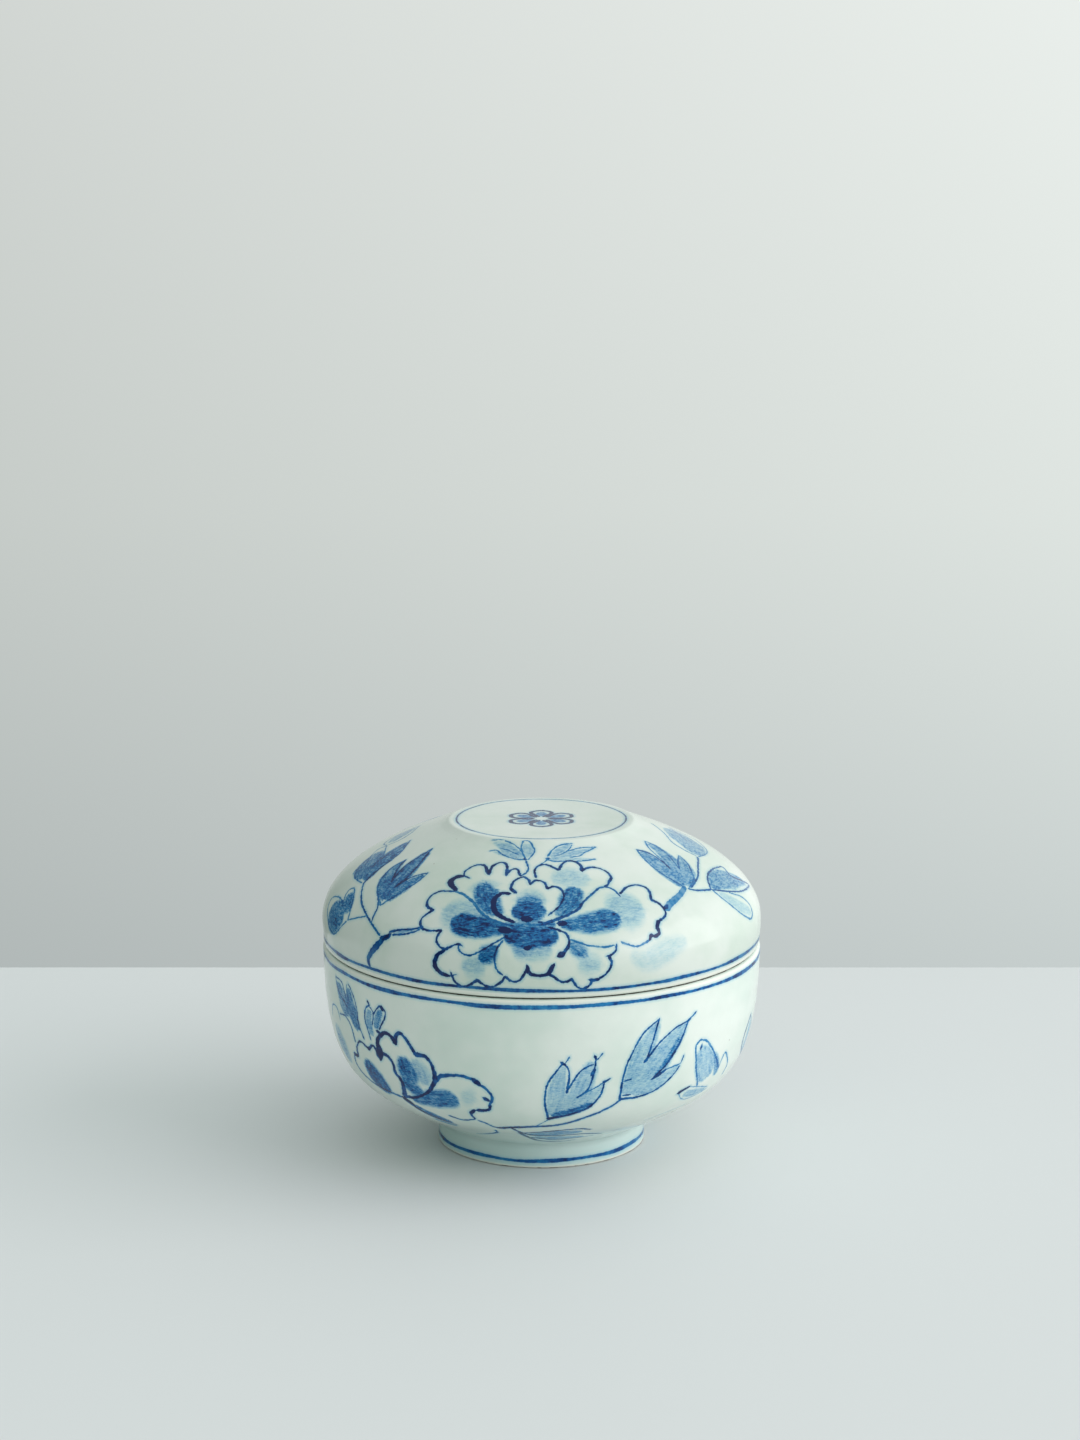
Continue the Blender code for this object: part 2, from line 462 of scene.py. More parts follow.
def settle(piece):
    """The unevenness of a pot thrown by hand: a little out of round, with faint throwing rings."""
    points = corners_of(piece)
    turn = np.arctan2(points[:, 1], points[:, 0])
    across = np.hypot(points[:, 0], points[:, 1])
    swell = 0.00016 * np.cos(2 * turn + 0.9) + 0.00007 * np.cos(3 * turn - 1.3 + 20 * points[:, 2])
    rings = 0.000035 * np.sin(points[:, 2] * 2 * math.pi / 0.0072 + turn)
    grow = 1 + (swell + rings) * (across / RIM_RADIUS) ** 2 / np.maximum(across, 0.01)
    points[:, :2] *= grow[:, None]
    piece.data.vertices.foreach_set("co", points.ravel())
    piece.data.update()


def line_group():
    """The ink of one brushed line, from its offset, half width and tone, and the bleed beside it."""
    group = bpy.data.node_groups.new("brushed line", "ShaderNodeTree")
    group.interface.new_socket("Line", in_out="INPUT", socket_type="NodeSocketVector")
    group.interface.new_socket("Wander", in_out="INPUT", socket_type="NodeSocketFloat")
    group.interface.new_socket("Ink", in_out="OUTPUT", socket_type="NodeSocketFloat")
    group.interface.new_socket("Bleed", in_out="OUTPUT", socket_type="NodeSocketFloat")
    given = group.nodes.new("NodeGroupInput").outputs
    answer = group.nodes.new("NodeGroupOutput").inputs
    parts = add_node(group, "SeparateXYZ", {0: given["Line"]}).outputs
    off = worked_out(group, "ABSOLUTE", parts["X"])
    past_edge = worked_out(group, "SUBTRACT", off, parts["Y"])
    past_edge = worked_out(group, "ADD", past_edge, given["Wander"])
    inked = stretched(group, past_edge, 0.10, -0.12)
    bled = stretched(group, past_edge, 1.1, -0.3)
    group.links.new(worked_out(group, "MULTIPLY", inked, parts["Z"]), answer["Ink"])
    group.links.new(worked_out(group, "MULTIPLY", bled, parts["Z"]), answer["Bleed"])
    return group


brushed_line = line_group()

GLAZE_MOTTLE = (0.64, 0.69, 0.65)
# Darker and greener, low on the outside wall towards the foot
GLAZE_LOW_WALL = (0.44, 0.62, 0.62)
GLAZE_EDGE = (0.70, 0.73, 0.66)
SPECK = (0.22, 0.19, 0.15)
# Nearly black brown: burnt bare clay together with painted shade of the seam gap and of the foot where it
# stands on the table
BURNT_CLAY_AND_SHADE = (0.12, 0.085, 0.055)
CLAY = (0.56, 0.50, 0.41)
COBALT = [
    (0.0, (1, 1, 1)),
    (1.0, (0.001, 0.018, 0.13)),
    (0.16, (0.64, 0.82, 0.93)),
    (0.36, (0.31, 0.535, 0.80)),
    (0.58, (0.020, 0.25, 0.60)),
    (0.80, (0.001, 0.105, 0.40)),
]


def painted_glaze(name, layers, thin, deep, bands, edges, bare, low_wall=None):
    """Clear glaze over cobalt brushwork. Bands and bare places are given by their run down the wall; the
    darkest bare places also carry painted shade.
    """
    material = bpy.data.materials.new(name)
    material.use_nodes = True
    tree = material.node_tree
    place = add_node(tree, "TexCoord").outputs["Object"]
    place = add_node(tree, "Mapping", {"Vector": place, "Scale": (1000, 1000, 1000)}).outputs[0]

    def noise(scale, detail=2.0, rough=0.5, vector=place):
        wires = {"Vector": vector, "Scale": scale, "Detail": detail, "Roughness": rough}
        return add_node(tree, "TexNoise", wires).outputs["Fac"]

    def between(value, low, high, first=0.0, last=1.0):
        return stretched(tree, value, low, high, first, last)

    def plus(first, second):
        return worked_out(tree, "ADD", first, second)

    def minus(first, second):
        return worked_out(tree, "SUBTRACT", first, second)

    def times(first, second):
        return worked_out(tree, "MULTIPLY", first, second)

    def most(first, second):
        return worked_out(tree, "MAXIMUM", first, second)

    def kept(attribute):
        return add_node(tree, "Attribute", attribute_name=attribute).outputs["Vector"]

    # How the brush wandered, and the bands, which it drew more steadily on the turning wheel
    wander = plus(between(noise(0.9), 0.3, 0.7, -0.11, 0.11), between(noise(4.5), 0.3, 0.7, -0.05, 0.05))
    steadier = times(wander, 0.45)
    run = add_node(tree, "SeparateXYZ", {0: kept("brush run")}).outputs["X"]
    sway = between(noise(0.04, 1.0), 0.3, 0.7, -0.22, 0.22)
    swell = between(noise(0.06, 1.0), 0.3, 0.7, -0.16, 0.16)
    fade = between(noise(0.16, 4.0, 0.65), 0.3, 0.7, 0.70, 1.08)
    drawn = [(kept(f"brush line {i + 1}"), wander) for i in range(layers)]
    for centre, half_width, tone in bands:
        off = plus(minus(run, centre), sway)
        wide = plus(times(swell, half_width * 1.2), half_width)
        band = add_node(tree, "CombineXYZ", {"X": off, "Y": wide, "Z": times(fade, tone)})
        drawn.append((band.outputs[0], steadier))
    ink, bleed = 0.0, 0.0
    for line, wavering in drawn:
        wires = {"Line": line, "Wander": wavering}
        laid = add_node(tree, "Group", wires, node_tree=brushed_line).outputs
        ink = most(ink, laid["Ink"])
        bleed = most(bleed, laid["Bleed"])
    ink = times(ink, between(noise(0.55, 3.0), 0.30, 0.70, 0.78, 1.06))
    bleed = times(bleed, 0.20)

    # Washes, streaked the way the brush went, with grains where the cobalt settled
    wash = add_node(tree, "SeparateXYZ", {0: kept("brush wash")}).outputs
    brushed = {"X": times(wash["Y"], 1.15), "Y": times(wash["Z"], 0.13)}
    brushed = add_node(tree, "CombineXYZ", brushed).outputs[0]
    streaks = between(noise(1.0, 3.0, 0.6, brushed), 0.30, 0.70, 0.74, 1.14)
    grain = add_node(tree, "Mapping", {"Vector": place, "Scale": (0.8, 0.8, 3.4)}).outputs[0]
    grain = between(noise(1.0, 2.0, 0.6, grain), 0.32, 0.68, 0.74, 1.24)
    clouds = between(noise(0.33, 3.0, 0.6), 0.3, 0.7, 0.80, 1.16)
    washed = times(wash["X"], times(times(streaks, grain), clouds))
    grains = between(noise(2.3, 2.0), 0.62, 0.70)
    washed = worked_out(tree, "MULTIPLY_ADD", times(washed, grains), 0.55, washed)
    pigment = most(most(washed, bleed), ink)
    crossed = worked_out(tree, "MINIMUM", washed, ink)
    pigment = worked_out(tree, "MULTIPLY_ADD", crossed, 0.35, pigment)
    iron = times(between(noise(1.7, 2.0), 0.66, 0.75), ink)
    pigment = worked_out(tree, "MULTIPLY_ADD", iron, 0.35, pigment)

    # The glaze: greener where it lies thick, whiter and warmer where it is thin, with iron specks
    tint = mixed(tree, between(noise(0.035, 3.0, 0.6), 0.35, 0.65), deep, thin)
    tint = mixed(tree, between(noise(0.6, 2.0), 0.35, 0.75, 0.0, 0.14), tint, GLAZE_MOTTLE)
    # Darker and greener low on the outside wall, towards the foot
    if low_wall:
        tint = mixed(tree, between(run, low_wall[0], low_wall[1], 0.0, 0.6), tint, GLAZE_LOW_WALL)
    for edge in edges:
        near = worked_out(tree, "ABSOLUTE", minus(run, edge))
        tint = mixed(tree, between(near, 0.95, 0.35), tint, GLAZE_EDGE)
    cells = add_node(tree, "TexVoronoi", {"Vector": place, "Scale": 0.16, "Randomness": 1.0}).outputs
    chosen = add_node(tree, "SeparateXYZ", {0: cells["Color"]}).outputs["X"]
    chosen = worked_out(tree, "GREATER_THAN", chosen, 0.80)
    speck = times(between(cells["Distance"], 0.055, 0.02), chosen)
    tint = mixed(tree, times(speck, 0.6), tint, SPECK)
    colour = mixed(tree, 1.0, tint, ramp(tree, pigment, COBALT), "MULTIPLY")

    # The bare clay, with an uneven edge where the glaze was wiped away. Its nearly black brown is burnt
    # clay together with painted shade, in the seam between bowl and lid and under the foot
    clay = 0.0
    wiped = plus(run, between(noise(0.5, 2.0), 0.3, 0.7, -0.18, 0.18))
    for first, last, bare_colour in bare:
        share = times(
            between(wiped, first - 0.1, first + 0.1),
            between(wiped, last + 0.1, last - 0.1),
        )
        darker = tuple(0.6 * part for part in bare_colour)
        spotted = mixed(tree, between(noise(1.6, 3.0), 0.35, 0.7), bare_colour, darker)
        colour = mixed(tree, share, colour, spotted)
        clay = most(clay, share)
    rough = plus(times(clay, 0.55), between(noise(0.08, 3.0), 0.3, 0.7, 0.13, 0.20))

    # The glaze's soft ripple, and the grain of the bare clay
    wires = {"Height": noise(0.28, 2.0, 0.4), "Distance": 0.00006, "Strength": 0.6}
    ripple = add_node(tree, "Bump", wires).outputs[0]
    roughened = times(noise(5.0, 3.0, 0.6), clay)
    wires = {"Height": roughened, "Distance": 0.00005, "Strength": 0.8, "Normal": ripple}
    grained = add_node(tree, "Bump", wires).outputs[0]

    shader = tree.nodes["Principled BSDF"]
    tree.links.new(colour, shader.inputs["Base Color"])
    tree.links.new(rough, shader.inputs["Roughness"])
    tree.links.new(grained, shader.inputs["Normal"])
    shader.inputs["IOR"].default_value = 1.52
    shader.inputs["Specular IOR Level"].default_value = 0.27
    return material


section = bowl_section()
bowl = thrown("bowl_porcelain", section)
lip_corner = (RIM_RADIUS, BOWL_HEIGHT - LIP_ROUND)
bowl_brush = Brushwork(bowl, section, lip_corner, 1, LIP_ROUND, (2.0, 69.0))

BLACK = 1.15
DARK = 0.98
BLUE = 0.82
PALE = 0.62
bowl_lines = [
    # The young leaf at the left, in two blades, with a shorter pair under it
    ((0.4, 0.5, 0.4), BLUE, (-67.5, 4.5), (-67, 7), (-65.5, 9), (-62.5, 11), (-60.5, 12.5)),
    ((0.4, 0.4, 0.3), BLUE, (-67.3, 4.7), (-63.5, 5.2), (-62, 7.5), (-61, 9.5)),
    ((0.3, 0.4, 0.3), PALE, (-60, 4.7), (-60.6, 6.5), (-60.2, 9)),
    ((0.4, 0.5, 0.6), BLUE, (-59.8, 4.5), (-58, 6), (-56.5, 8.5), (-55.5, 12.5), (-55.3, 16), (-53.5, 20)),
    ((0.4, 0.4, 0.4), PALE, (-74.5, 19), (-72.5, 15.2), (-69, 14.5), (-67.5, 16), (-67, 18)),
    ((0.4, 0.5, 0.7), BLUE, (-66.5, 16), (-62.5, 15.5), (-60, 17.5), (-59, 20), (-58.5, 22.5)),
    # The bud beside it
    ((0.7, 0.7, 0.3), DARK, (-50.4, 7.3), (-49.6, 8.4)),
    ((0.5, 0.5, 0.5), BLUE, (-49.6, 8.4), (-51.5, 10), (-52, 13), (-51.5, 15.5), (-50.3, 19.5)),
    ((0.4, 0.5, 0.4), BLUE, (-49.8, 8.8), (-48.5, 10), (-48.4, 11.5), (-49, 14.5)),
    ((0.4, 0.5, 0.5), DARK, (-48.4, 11), (-46.5, 8.5), (-45, 7.5), (-43.6, 9), (-44, 11), (-46.2, 15)),
    ((0.9, 1.2, 0.6), DARK, (-45.3, 7.9), (-44.1, 8.8)),
    ((0.9, 1.2, 0.8), DARK, (-47.3, 15.8), (-46, 16.2)),
    # The peony: the left petal
    ((1, 0.7, 0.7), BLUE, (-44, 37.5), (-49, 37), (-55.5, 36), (-60.5, 33.5), (-62, 30.5), (-61, 27.2)),
    ((1.3, 0.6, 0.7), DARK, (-61, 27.2), (-58.8, 27), (-58.6, 25), (-57.5, 23), (-55.5, 21.4), (-52, 22.8)),
    ((1.1, 0.7, 1.1), DARK, (-52, 22.8), (-50, 21.1), (-48.7, 22), (-48.3, 24.2)),
    ((1.7, 2.8, 1.4), BLACK, (-47.7, 20), (-47, 22.2), (-47.5, 24.9)),
    # The top petal
    ((1.8, 1.4, 1.3), BLACK, (-47.6, 21.5), (-47.5, 19), (-46.5, 17.3), (-44.5, 15.6)),
    ((1.3, 1.1, 1.9), BLACK, (-44.5, 15.6), (-42.5, 15.8), (-40.7, 17.8)),
    ((1.7, 0.9, 1.4), DARK, (-40.7, 17.8), (-40.2, 15.5), (-38.7, 14.4), (-37, 15.7), (-34.4, 19.6)),
    ((1.5, 0.9, 1.9), DARK, (-34.3, 20), (-31.5, 20), (-29.9, 21.5), (-29.1, 24), (-29, 27.6)),
    ((1.1, 1, 1.4, 2.1), DARK, (-46, 22.5), (-44, 23), (-42.7, 25), (-42.4, 28), (-41, 30), (-41, 33),
     (-42, 36.8)),
    ((1.5, 0.8, 1.3), DARK, (-29, 27.6), (-31.5, 31.5), (-34.5, 34), (-38.5, 36.2), (-41.5, 36.4)),
    # The right petal, and the hidden petals under the flower
    ((1.5, 1, 0.9), BLUE, (-29, 27.5), (-27, 25.6), (-24, 24.9), (-21, 24.6), (-18, 25.4)),
    ((1.3, 1.8, 1.1), DARK, (-18, 25.4), (-16, 27.1)),
    ((0.9, 0.7, 1), BLUE, (-16, 27), (-14, 29), (-13.2, 31.4), (-14, 33.7)),
    ((1.3, 1.3, 0.7), DARK, (-15.4, 31.7), (-14, 32.7)),
    ((0.9, 1, 1.5), DARK, (-14, 33.7), (-14.8, 36.2), (-18, 37)),
    ((1.4, 0.9, 0.7), DARK, (-19.2, 37.2), (-20.5, 39), (-20, 41.7)),
    ((1.4, 1, 0.9), BLUE, (-43, 38.5), (-41, 41), (-38, 44.5), (-34, 47.5), (-29.5, 49.5)),
    ((2.1, 1.9, 1.1), BLACK, (-43, 37.8), (-40.5, 40.2)),
    ((0.9, 0.6, 0.6), BLUE, (-28.5, 42.3), (-24.5, 43.7), (-20, 42)),
    ((0.7, 0.7, 1.1), BLUE, (-19.3, 42.5), (-17, 44.2), (-15, 46.6), (-12, 47.4)),
    ((0.7, 0.7, 0.7), BLUE, (-15.5, 50), (-16, 53), (-21, 57), (-27, 60)),
    # The long stem, and the leaf that stands on it
    ((1.6, 1.3, 0.9, 0.7), (1.05, 0.9, 0.8), (-13.5, 47.2), (-9.5, 46), (-2, 44.6), (4, 43.8), (8.5, 42),
     (12.5, 39.7), (16.5, 37.5), (20, 35), (22, 32.9)),
    ((0.4, 0.3, 0.3), PALE, (-2, 44.6), (0.5, 41.7), (2, 40)),
    ((0.8, 0.5, 0.5), BLUE, (2, 39.7), (1, 33.5), (1, 29.5), (1.5, 26), (3, 23), (5.4, 19.2)),
    ((0.8, 0.9, 0.5), DARK, (5, 18.8), (6.1, 19.8)),
    ((0.3, 0.4, 0.6), BLUE, (6, 19.2), (7.1, 17.2)),
    ((0.5, 0.5, 0.9), BLUE, (5.8, 19.3), (7, 21.5), (7.1, 24.5), (6.7, 28.7)),
    ((0.8, 0.5, 0.4), BLUE, (6.7, 28.3), (8.5, 24.5), (10, 22), (12, 20.5), (13.5, 20)),
    ((0.8, 0.9, 0.5), DARK, (13.5, 17.2), (14, 18.7)),
    ((0.3, 0.3, 0.5), BLUE, (14, 19), (15.6, 16.8)),
    ((0.8, 1.1, 0.7), BLUE, (13.8, 21.6), (12.9, 23.4)),
    ((0.5, 0.6, 0.5), BLUE, (14, 18.2), (13.6, 22), (13, 25.5), (12, 28.5), (9.5, 30.7)),
    ((0.4, 0.3, 0.3), PALE, (9.5, 31), (12, 29), (14.5, 27.5), (16.5, 26)),
    ((0.9, 0.5, 0.4), DARK, (16.3, 26.1), (18.1, 25.1)),
    ((0.5, 0.7, 0.6), BLUE, (16.5, 26.5), (16, 30), (14.5, 33), (12.5, 35.5), (8, 37.7), (2, 40)),
    ((1.2, 1.3, 0.6), BLACK, (2, 39.5), (4.2, 38.8)),
    # The long low leaf by the foot
    ((0.8, 1.1, 0.7), DARK, (-9.5, 46.5), (-7, 50.5), (-3, 54), (4, 55), (10.5, 54.7), (16.5, 54.7),
     (24, 58)),
    ((0.8, 0.8, 0.8), DARK, (-6.5, 51.5), (0, 49.7), (6.5, 48.2), (12.5, 47.7), (16.5, 49.3)),
    ((1.0, 1.1, 0.7), DARK, (-7.5, 51), (-4.5, 58.5), (-0.5, 63.5), (8, 65.3), (15, 64.3)),
    ((0.7, 0.8, 0.7), DARK, (-3.5, 57.5), (4.5, 61), (12, 61), (21, 59.5)),
    ((0.3, 0.3, 0.3), 0.35, (27, 60), (32, 59), (40, 58), (48, 60)),
    # The big leaf at the stem's end
    ((0.8, 0.5, 0.5), BLUE, (21.5, 32.8), (21.5, 28), (22, 22.5), (23.5, 18), (25.3, 14), (27.5, 11),
     (31, 8.3)),
    ((0.7, 0.4, 0.6), BLUE, (31, 8.3), (30.2, 11.5), (29.5, 14.5), (28.7, 17.5), (28, 20.7)),
    ((0.8, 0.5, 0.4), BLUE, (27.3, 21), (29, 19), (30.7, 16.5), (33.5, 14), (36.5, 12), (40.3, 10.8)),
    ((0.8, 0.4, 0.6), BLUE, (40.2, 10.9), (41.2, 10), (42.8, 8.7)),
    ((0.5, 0.8, 0.5), BLUE, (40.3, 10.9), (39, 14.5), (37.7, 17.5), (36, 20.5), (34, 23.5), (30.3, 27.2)),
    ((0.7, 1.1, 0.6), BLUE, (30.2, 27.3), (32.5, 26), (34.4, 24.8)),
    ((0.5, 0.5, 0.4), PALE, (34.3, 24.9), (36.5, 24.4), (39, 24)),
    ((0.4, 0.4, 0.6), BLUE, (39, 24), (39.8, 21.6)),
    ((0.5, 0.6, 0.8), BLUE, (39, 24.5), (37, 27.5), (34, 30.3), (31, 32), (26.5, 33), (21.5, 32.8)),
    ((0.4, 0.6, 0.3), BLUE, (21.7, 26.6), (24.2, 26)),
    ((0.4, 0.7, 0.3), BLUE, (22.2, 31.5), (24.7, 31.6)),
    # The folded leaf at the right
    ((0.5, 0.5, 0.6), PALE, (49, 34.8), (45.8, 28), (44.3, 22.5), (44, 19.5), (45.5, 18)),
    ((0.6, 0.6, 0.7), PALE, (45.5, 18), (48, 19), (50.7, 22), (53.7, 26), (56.5, 30)),
    ((0.8, 1.1, 0.6), BLUE, (46.2, 19.8), (46, 21.2)),
    ((0.5, 0.5, 0.4), PALE, (56.7, 31), (57.3, 28), (58.3, 25.8), (60.5, 28), (62.5, 31.5), (62.5, 35)),
    ((1.3, 1.1, 0.5), BLACK, (41.5, 35.2), (43.5, 34.3), (45.5, 33.7)),
    ((0.4, 0.4, 0.4), 0.45, (41.8, 35.5), (44, 38.2), (47, 39.7), (52, 39.5), (56.5, 38.3)),
    ((0.4, 0.4, 0.4), 0.45, (45.3, 33.8), (49, 35), (56, 37.4)),
    # The leaf past it, on its own short stem
    ((0.6, 0.8, 0.7), DARK, (81, 37), (75.5, 32.5), (71.8, 28), (71, 24), (74.5, 19)),
    ((0.5, 0.5, 0.4), BLUE, (74.5, 19), (77.5, 22), (80.5, 26.5)),
    ((0.5, 0.5, 0.6), BLUE, (80.5, 26), (84, 22.5), (90, 19.5)),
    ((0.5, 0.7, 0.5), BLUE, (90, 19.7), (90, 25.5), (87.5, 31.5), (81.3, 37)),
    ((0.7, 0.5, 0.5), BLUE, (81.2, 37.2), (85, 42), (92, 46)),
    ((0.3, 0.3, 0.3), 0.35, (36.5, 49), (42.5, 46.3), (51.5, 44.5)),
]
bowl_washes = [
    (0.7, (3, 6.8, 6.4), 0.58, (-66.5, 6), (-64, 9.5), (-60, 14.5)),
    (0.7, (3, 5.8, 3.8), 0.66, (-59.5, 6), (-58.5, 12), (-55.5, 18)),
    (2.4, (6, 8, 5), 0.4, (-72, 21), (-69, 27), (-66, 32)),
    (0.7, (2.4, 3.4, 2), 0.44, (-49.5, 18), (-50.4, 13), (-49.6, 9.6)),
    (0.7, (2.2, 3.4, 2), 0.54, (-47.6, 15.5), (-46.5, 11.5), (-45, 8.6)),
    (2.4, (5, 8.5, 6), 0.86, (-54.7, 27), (-53, 31), (-51, 34.3), (-48, 37.5)),
    (2.2, (5, 7.5, 6.5), 0.7, (-38.8, 21.5), (-38, 26), (-36.5, 31)),
    (2.2, (4, 5.5, 4), 0.74, (-40, 29), (-37.5, 32), (-34, 32.5)),
    (4.0, (5, 6, 5), 0.34, (-35.5, 22), (-33, 26), (-31.8, 30)),
    (2.0, (3, 7.5, 7), 0.7, (-39.5, 37.5), (-33, 35.5), (-28, 34.2), (-23, 33.4)),
    (5.0, (6, 8), 0.16, (-22, 31), (-18, 33)),
    (1.2, (3, 4.6, 3), 0.74, (-41, 40.5), (-36, 44.5), (-30, 48)),
    (0.7, (2, 3, 2), 0.45, (-38, 48), (-34, 50), (-30, 51.5)),
    (0.7, (5, 6, 2), 0.32, (3, 38), (4, 32), (4.3, 26), (5.6, 19.7)),
    (0.7, (6, 7.4, 4), 0.32, (5.5, 36.5), (9.5, 32), (11.1, 26), (13.3, 19)),
    (0.7, (4, 5, 1.6), 0.3, (6, 37), (12.5, 33), (16.3, 26.5)),
    (0.9, (3, 3.2, 2.2), 0.78, (2.8, 38), (7, 37), (14, 33.6)),
    (0.7, (2.5, 6, 3), 0.48, (-5, 53.5), (4, 51.7), (14, 51)),
    (0.7, (3, 7, 3), 0.46, (-4, 57), (6, 59.8), (17, 58.8)),
    (0.7, (5, 8.4, 2.6), 0.33, (22.8, 31.5), (25, 25), (27, 18), (30.7, 9)),
    (0.7, (6, 9, 3.4), 0.34, (24, 31), (30, 24), (34.5, 17.7), (39.8, 11.4)),
    (0.7, (4, 5.4, 1.8), 0.33, (25, 31.5), (31, 29.8), (38.6, 24.7)),
    (0.9, (2.5, 2.5, 2), 0.66, (37.8, 15.5), (35.5, 20), (31, 26.5)),
    (0.7, (5.5, 9, 9), 0.32, (46, 20.4), (48.5, 26), (52, 33)),
    (0.9, (2, 3, 2.4), 0.5, (52, 24), (54.7, 28), (56.5, 33)),
    (0.7, (3, 3.5, 2), 0.35, (44, 36.5), (49, 37.5), (55, 38)),
    (0.7, (4, 6.5, 2.5), 0.36, (80.6, 35.5), (76.2, 28.5), (75.2, 21)),
    (0.7, (4, 6.5, 2.5), 0.36, (81.5, 35.5), (85, 29), (89.4, 21)),
]
for turned in (0, 180):
    bowl_brush.paint(bowl_lines, bowl_washes, turned)
bowl_layers = bowl_brush.finish()

FOOT_BAND_UP = 2.3  # millimetres from the foot's base to the middle of its band
foot_side = (bowl_brush.radius > 29.5) & (bowl_brush.height < 6)
foot_run = bowl_brush.run[foot_side]
foot_base = float(foot_run[-1])
foot_band = float(np.interp(-FOOT_BAND_UP, -bowl_brush.height[foot_side], foot_run))
bowl.data.materials.append(
    painted_glaze(
        "bowl glaze",
        bowl_layers,
        thin=(0.70, 0.77, 0.715),
        deep=(0.60, 0.705, 0.64),
        bands=[(2.0, 0.58, 0.94), (foot_band, 0.54, 0.94)],
        edges=[0.7, foot_base - 0.3],
        low_wall=(56.0, foot_base - 3),
        # The top of the lip and the foot's base are nearly black brown: burnt clay with painted shade of
        # the seam and under the foot
        bare=[(-2.6, -0.8, BURNT_CLAY_AND_SHADE), (foot_base - 0.35, foot_base + 4.0, BURNT_CLAY_AND_SHADE)],
    )
)
settle(bowl)
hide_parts("bowl")
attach(bowl, "bowl")


# The lid: a high dome thrown upside down in the same clay, with a flat trimmed top and a flange that
# drops inside the bowl. A large peony with its leaves is painted front and back, and a small flower
# on top. Its seat and flange are wiped bare of glaze, so that it doesn't stick in the kiln.
LID_HEIGHT = 0.0370
LID_BULGE = 0.0004
LID_WIDEST_HEIGHT = 0.0072
LID_TOP_RADIUS = 0.0278
DOME_SLOPE = math.radians(42)
DOME_TOP_PULL = 0.0042
DOME_SHOULDER = 0.62
LID_WALL = 0.0040
LID_TOP_WALL = 0.0045
FLANGE_WALL = 0.0028
FLANGE_DEPTH = 0.0050
SEAT_GAP = 0.0003
LIP_STEP = 0.0003
FLANGE_CLEARANCE = 0.0008
FLANGE_ROOT_FILLET = 0.0005
FLANGE_TIP_ROUND = 0.0012
TOP_EDGE_ROUND = 0.0020
FLOWER_REACH = 0.0125  # the painted part of the flat top


def lid_section():
    """The lid's outline, from the middle of the top, down the dome, round the flange and inside."""
    seat = BOWL_HEIGHT + SEAT_GAP
    top = seat + LID_HEIGHT
    edge = Vector((LID_TOP_RADIUS, top))
    rim = Vector((RIM_RADIUS - LIP_STEP, seat))
    widest = rim + Vector((LID_BULGE, LID_WIDEST_HEIGHT))
    leave = edge + Vector((math.cos(DOME_SLOPE), -math.sin(DOME_SLOPE))) * DOME_TOP_PULL
    shoulder = widest + Vector((0, (top - widest.y) * DOME_SHOULDER))
    dome = curve(edge, leave, shoulder, widest, FINE_STEPS)
    rim_pull = Vector((0, LID_WIDEST_HEIGHT / 3))
    skirt = curve(widest, widest - rim_pull, rim + rim_pull, rim, 40)
    clear_of_rim = [point for point in skirt if point.y > seat + 1.6 * LIP_ROUND]
    clear_of_edge = [point for point in dome if (point - edge).length > 1.2 * TOP_EDGE_ROUND]
    painted = even_steps(clear_of_edge + clear_of_rim[1:], PAINTED_STEP)
    flange_outside = RIM_RADIUS - BOWL_WALL - FLANGE_CLEARANCE
    flange_inside = flange_outside - FLANGE_WALL
    seat_and_flange = rounded(
        (painted[-1], 0),
        (rim, LIP_ROUND),
        (Vector((flange_outside, seat)), FLANGE_ROOT_FILLET),
        (Vector((flange_outside, seat - FLANGE_DEPTH)), FLANGE_TIP_ROUND),
        (Vector((flange_inside, seat - FLANGE_DEPTH)), FLANGE_TIP_ROUND),
        (Vector((flange_inside, seat)), 0),
    )
    ceiling = top - LID_TOP_WALL
    below = ceiling - TOP_EDGE_ROUND / 2
    inside = [point for point in inner_side(dome, LID_WALL, LID_WALL) if point.y < below]
    flange_root = seat_and_flange[-1]
    spring = inside[-1]
    half_way = Vector((0, (spring.y - seat) / 2))
    blend = curve(flange_root, flange_root + half_way, spring - half_way, spring, 5)
    crown = onto_flat(inside[0], inside[1], ceiling, 6)
    lining = even_steps(inside, LINING_STEP)
    flat = even_steps([Vector((0, top)), Vector((FLOWER_REACH, top))], PAINTED_STEP)
    plain = even_steps([flat[-1], Vector((LID_TOP_RADIUS - TOP_EDGE_ROUND, top))], 0.0022)
    turn_over = rounded((plain[-1], 0), (edge, TOP_EDGE_ROUND), (painted[0], 0))
    outside = flat + plain[1:] + turn_over[1:] + painted[1:-1]
    return outside + seat_and_flange[1:] + blend[1:] + lining[-2:0:-1] + crown


section = lid_section()
lid = thrown("lid_porcelain", section)
seat_corner = (RIM_RADIUS - LIP_STEP, BOWL_HEIGHT + SEAT_GAP + LIP_ROUND)
lid_brush = Brushwork(lid, section, seat_corner, -1, LIP_ROUND, (1.2, 200.0))

